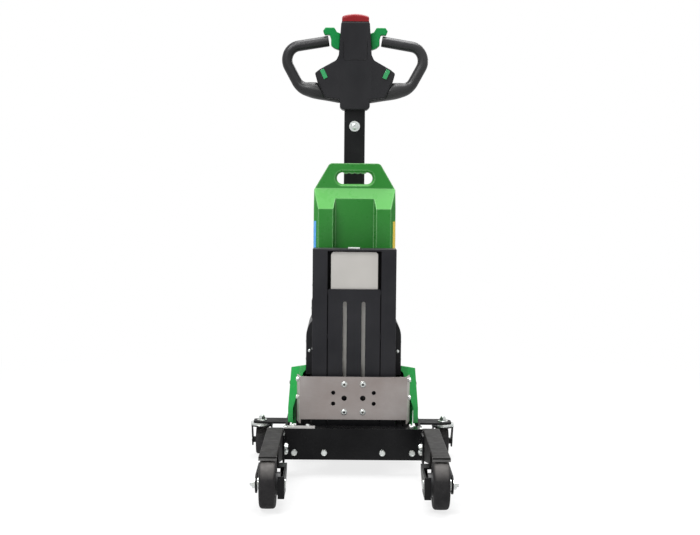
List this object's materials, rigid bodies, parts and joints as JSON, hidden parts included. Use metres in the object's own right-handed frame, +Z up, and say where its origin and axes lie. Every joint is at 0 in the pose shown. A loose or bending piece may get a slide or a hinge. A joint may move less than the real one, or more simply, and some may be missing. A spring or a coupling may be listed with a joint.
{
  "type": "electric tow tractor",
  "caption": "Walk-behind electric tow tractor with wheeled front legs, lifting hitch plate on a mast, removable battery, side castors and a tilting tiller with loop handles.",
  "frame": {"origin": "on the floor, under the middle of the machine's length and width", "axes": "+Z up; -Y towards the hitch, +Y towards the operator; +X to the right seen from the hitch side"},
  "size_m": [0.532, 0.78, 1.169],
  "materials": {
    "gloss_black": "glossy black powder coat",
    "satin_black": "satin black powder coat",
    "motor_grey": "cast housing",
    "light_plate": "light beige-grey coat",
    "stainless": "brushed stainless steel",
    "battery_green": "moulded green plastic",
    "cover_green": "green coat",
    "control_black": "gloss",
    "buffer_rubber": "matte",
    "zinc": "bright zinc plate",
    "head_plastic": "fine-grained moulded plastic",
    "grip_plastic": "fine-grained moulded plastic",
    "lever_green": "gloss",
    "button_red": "gloss",
    "tyre_black": "worn rubber",
    "castor_tread": "worn rubber",
    "castor_black": "black coat",
    "hub_plastic": "moulded",
    "rim_grey": "cast aluminium"
  },
  "bodies": {
    "chassis": {"cross_member": "gloss_black", "base_frame": "satin_black", "drive_unit": "motor_grey", "mast_frame": "satin_black", "slot_cover": "satin_black", "mast_plate": "light_plate", "body_housing": "satin_black", "rear_panel": "satin_black", "battery_tray": "satin_black", "battery_case": "battery_green", "panel_controls": "control_black", "tiller_stop": "buffer_rubber", "tiller_bracket": "satin_black", "tiller_pin": "zinc", "front_axles": "zinc", "castor_heads": "zinc", "leg_left": "satin_black", "leg_right": "satin_black", "fork_left": "satin_black", "fork_right": "satin_black", "outrigger_left": "satin_black", "outrigger_right": "satin_black", "wheel_cover_left": "cover_green", "wheel_cover_right": "cover_green"},
    "hitch": {"hitch_plate": "stainless", "carriage": "zinc"},
    "tiller": {"tiller_bar": "satin_black", "tiller_head": "head_plastic", "thumb_levers": "lever_green", "belly_button": "button_red", "head_buttons": "lever_green", "handle_left": "grip_plastic", "handle_right": "grip_plastic"},
    "front_wheel_left": {"front_tyre_left": "tyre_black", "front_hub_left": "hub_plastic"},
    "drive_wheel_left": {"drive_tyre_left": "tyre_black", "drive_rim_left": "rim_grey"},
    "castor_swivel_left": {"castor_fork_left": "castor_black"},
    "castor_roller_left": {"castor_wheel_left": "castor_tread"},
    "front_wheel_right": {"front_tyre_right": "tyre_black", "front_hub_right": "hub_plastic"},
    "drive_wheel_right": {"drive_tyre_right": "tyre_black", "drive_rim_right": "rim_grey"},
    "castor_swivel_right": {"castor_fork_right": "castor_black"},
    "castor_roller_right": {"castor_wheel_right": "castor_tread"}
  },
  "joints": [
    {"name": "hitch_lift", "type": "slide", "parent": "chassis", "child": "hitch", "axis": [0, 0, 1], "range_m": [0, 0.17]},
    {"name": "tiller_tilt", "type": "hinge", "parent": "chassis", "child": "tiller", "pos_m": [0, 0.352, 0.225], "axis": [-1, 0, 0], "range_deg": [0, 75], "stiffness_Nm_per_rad": 26, "springref_deg": -34.38},
    {"name": "front_roll_left", "type": "hinge", "parent": "chassis", "child": "front_wheel_left", "pos_m": [-0.19, -0.335, 0.055], "axis": [-1, 0, 0], "continuous": true},
    {"name": "drive_roll_left", "type": "hinge", "parent": "chassis", "child": "drive_wheel_left", "pos_m": [-0.119, 0.205, 0.11], "axis": [-1, 0, 0], "continuous": true},
    {"name": "castor_turn_left", "type": "hinge", "parent": "chassis", "child": "castor_swivel_left", "pos_m": [-0.237, 0.177, 0.09], "axis": [0, 0, 1], "continuous": true},
    {"name": "castor_roll_left", "type": "hinge", "parent": "castor_swivel_left", "child": "castor_roller_left", "pos_m": [-0.237, 0.203, 0.0375], "axis": [-1, 0, 0], "continuous": true},
    {"name": "front_roll_right", "type": "hinge", "parent": "chassis", "child": "front_wheel_right", "pos_m": [0.19, -0.335, 0.055], "axis": [-1, 0, 0], "continuous": true},
    {"name": "drive_roll_right", "type": "hinge", "parent": "chassis", "child": "drive_wheel_right", "pos_m": [0.119, 0.205, 0.11], "axis": [-1, 0, 0], "continuous": true},
    {"name": "castor_turn_right", "type": "hinge", "parent": "chassis", "child": "castor_swivel_right", "pos_m": [0.237, 0.177, 0.09], "axis": [0, 0, 1], "continuous": true},
    {"name": "castor_roll_right", "type": "hinge", "parent": "castor_swivel_right", "child": "castor_roller_right", "pos_m": [0.237, 0.203, 0.0375], "axis": [-1, 0, 0], "continuous": true}
  ]
}
